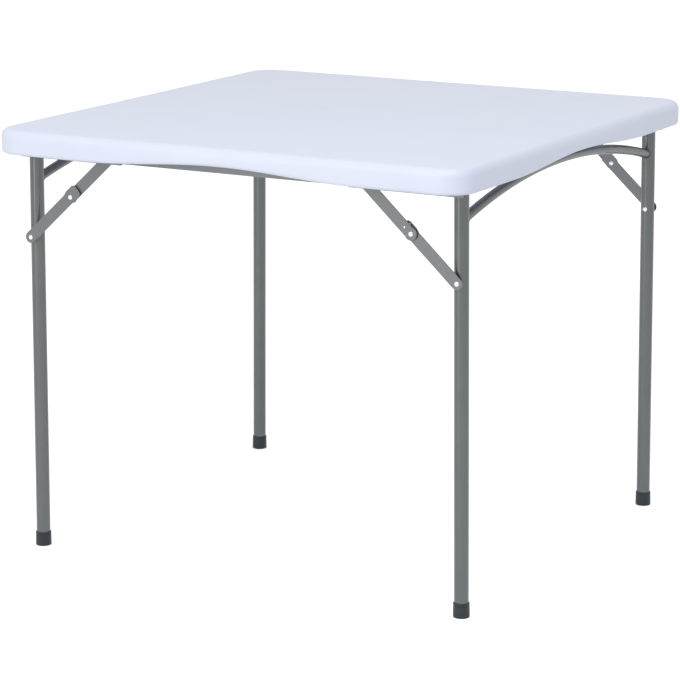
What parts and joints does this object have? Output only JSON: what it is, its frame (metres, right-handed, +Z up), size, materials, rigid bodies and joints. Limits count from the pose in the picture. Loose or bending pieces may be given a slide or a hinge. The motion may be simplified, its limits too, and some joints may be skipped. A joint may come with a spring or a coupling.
{
  "type": "folding card table",
  "caption": "Square folding card table: a moulded plastic top with rolled edges on two steel leg frames that fold flat under it on hinged, self-stopping braces.",
  "frame": {"origin": "on the floor, under the middle of the top", "axes": "+Z up; X from the left leg frame to the right one, across the two fold axes; -Y is the front"},
  "size_m": [0.888, 0.888, 0.74],
  "materials": {
    "top_plastic": "moulded, fine grain, cool white",
    "frame_steel": "satin grey powder coat",
    "brace_steel": "satin grey powder coat on pressed strip",
    "rail_steel": "satin grey powder coat on folded sheet",
    "bright_steel": "bright zinc plate",
    "bush_plastic": "black moulded nylon",
    "foot_rubber": "black moulded"
  },
  "bodies": {
    "root": {"tabletop": "top_plastic", "front_rail": "rail_steel", "rear_rail": "rail_steel", "rail_screws": "bright_steel", "root_spacers": "bush_plastic", "pivot_spacers": "bush_plastic", "front_right_pivot_pin": "bright_steel", "front_right_root_pin": "bright_steel", "front_left_pivot_pin": "bright_steel", "front_left_root_pin": "bright_steel", "rear_right_pivot_pin": "bright_steel", "rear_right_root_pin": "bright_steel", "rear_left_pivot_pin": "bright_steel", "rear_left_root_pin": "bright_steel"},
    "right_frame": {"right_arch_tube": "frame_steel", "front_right_leg": "frame_steel", "front_right_foot_cap": "foot_rubber", "front_right_leg_rivet": "bright_steel", "front_right_leg_spacer": "bush_plastic", "rear_right_leg": "frame_steel", "rear_right_foot_cap": "foot_rubber", "rear_right_leg_rivet": "bright_steel", "rear_right_leg_spacer": "bush_plastic"},
    "front_right_upper_brace": {"front_right_upper_link": "brace_steel", "front_right_upper_elbow_rivet": "bright_steel"},
    "front_right_lower_brace": {"front_right_lower_link": "brace_steel", "front_right_lower_elbow_rivet": "bright_steel"},
    "rear_right_upper_brace": {"rear_right_upper_link": "brace_steel", "rear_right_upper_elbow_rivet": "bright_steel"},
    "rear_right_lower_brace": {"rear_right_lower_link": "brace_steel", "rear_right_lower_elbow_rivet": "bright_steel"},
    "left_frame": {"left_arch_tube": "frame_steel", "front_left_leg": "frame_steel", "front_left_foot_cap": "foot_rubber", "front_left_leg_rivet": "bright_steel", "front_left_leg_spacer": "bush_plastic", "front_left_pivot_ear": "frame_steel", "rear_left_leg": "frame_steel", "rear_left_foot_cap": "foot_rubber", "rear_left_leg_rivet": "bright_steel", "rear_left_leg_spacer": "bush_plastic", "rear_left_pivot_ear": "frame_steel"},
    "front_left_upper_brace": {"front_left_upper_link": "brace_steel", "front_left_upper_elbow_rivet": "bright_steel"},
    "front_left_lower_brace": {"front_left_lower_link": "brace_steel", "front_left_lower_elbow_rivet": "bright_steel"},
    "rear_left_upper_brace": {"rear_left_upper_link": "brace_steel", "rear_left_upper_elbow_rivet": "bright_steel"},
    "rear_left_lower_brace": {"rear_left_lower_link": "brace_steel", "rear_left_lower_elbow_rivet": "bright_steel"}
  },
  "joints": [
    {"name": "right_fold", "type": "hinge", "parent": "root", "child": "right_frame", "pos_m": [0.4026, 0, 0.705], "axis": [0, 1, 0], "range_deg": [0, 90.48]},
    {"name": "front_right_upper_brace_turn", "type": "hinge", "parent": "root", "child": "front_right_upper_brace", "pos_m": [0.23693, -0.368, 0.703], "axis": [0, -1, 0], "range_deg": [0, 42.6]},
    {"name": "front_right_lower_brace_turn", "type": "hinge", "parent": "right_frame", "child": "front_right_lower_brace", "pos_m": [0.4039, -0.368, 0.55], "axis": [0, 1, 0], "range_deg": [0, 48.2]},
    {"name": "rear_right_upper_brace_turn", "type": "hinge", "parent": "root", "child": "rear_right_upper_brace", "pos_m": [0.23693, 0.368, 0.703], "axis": [0, -1, 0], "range_deg": [0, 42.6]},
    {"name": "rear_right_lower_brace_turn", "type": "hinge", "parent": "right_frame", "child": "rear_right_lower_brace", "pos_m": [0.4039, 0.368, 0.55], "axis": [0, 1, 0], "range_deg": [0, 48.2]},
    {"name": "left_fold", "type": "hinge", "parent": "root", "child": "left_frame", "pos_m": [-0.3846, 0, 0.6965], "axis": [0, -1, 0], "range_deg": [0, 90.48]},
    {"name": "front_left_upper_brace_turn", "type": "hinge", "parent": "root", "child": "front_left_upper_brace", "pos_m": [-0.24402, -0.368, 0.6965], "axis": [0, 1, 0], "range_deg": [0, 42.6]},
    {"name": "front_left_lower_brace_turn", "type": "hinge", "parent": "left_frame", "child": "front_left_lower_brace", "pos_m": [-0.4039, -0.368, 0.55], "axis": [0, -1, 0], "range_deg": [0, 37.9]},
    {"name": "rear_left_upper_brace_turn", "type": "hinge", "parent": "root", "child": "rear_left_upper_brace", "pos_m": [-0.24402, 0.368, 0.6965], "axis": [0, 1, 0], "range_deg": [0, 42.6]},
    {"name": "rear_left_lower_brace_turn", "type": "hinge", "parent": "left_frame", "child": "rear_left_lower_brace", "pos_m": [-0.4039, 0.368, 0.55], "axis": [0, -1, 0], "range_deg": [0, 37.9]}
  ],
  "couplings": [
    {"joint": "front_right_upper_brace_turn", "follows": "right_fold", "ratio": 0.46972},
    {"joint": "front_right_lower_brace_turn", "follows": "right_fold", "ratio": 0.53142},
    {"joint": "rear_right_upper_brace_turn", "follows": "right_fold", "ratio": 0.46972},
    {"joint": "rear_right_lower_brace_turn", "follows": "right_fold", "ratio": 0.53142},
    {"joint": "front_left_upper_brace_turn", "follows": "left_fold", "ratio": 0.46972},
    {"joint": "front_left_lower_brace_turn", "follows": "left_fold", "ratio": 0.41724},
    {"joint": "rear_left_upper_brace_turn", "follows": "left_fold", "ratio": 0.46972},
    {"joint": "rear_left_lower_brace_turn", "follows": "left_fold", "ratio": 0.41724}
  ]
}
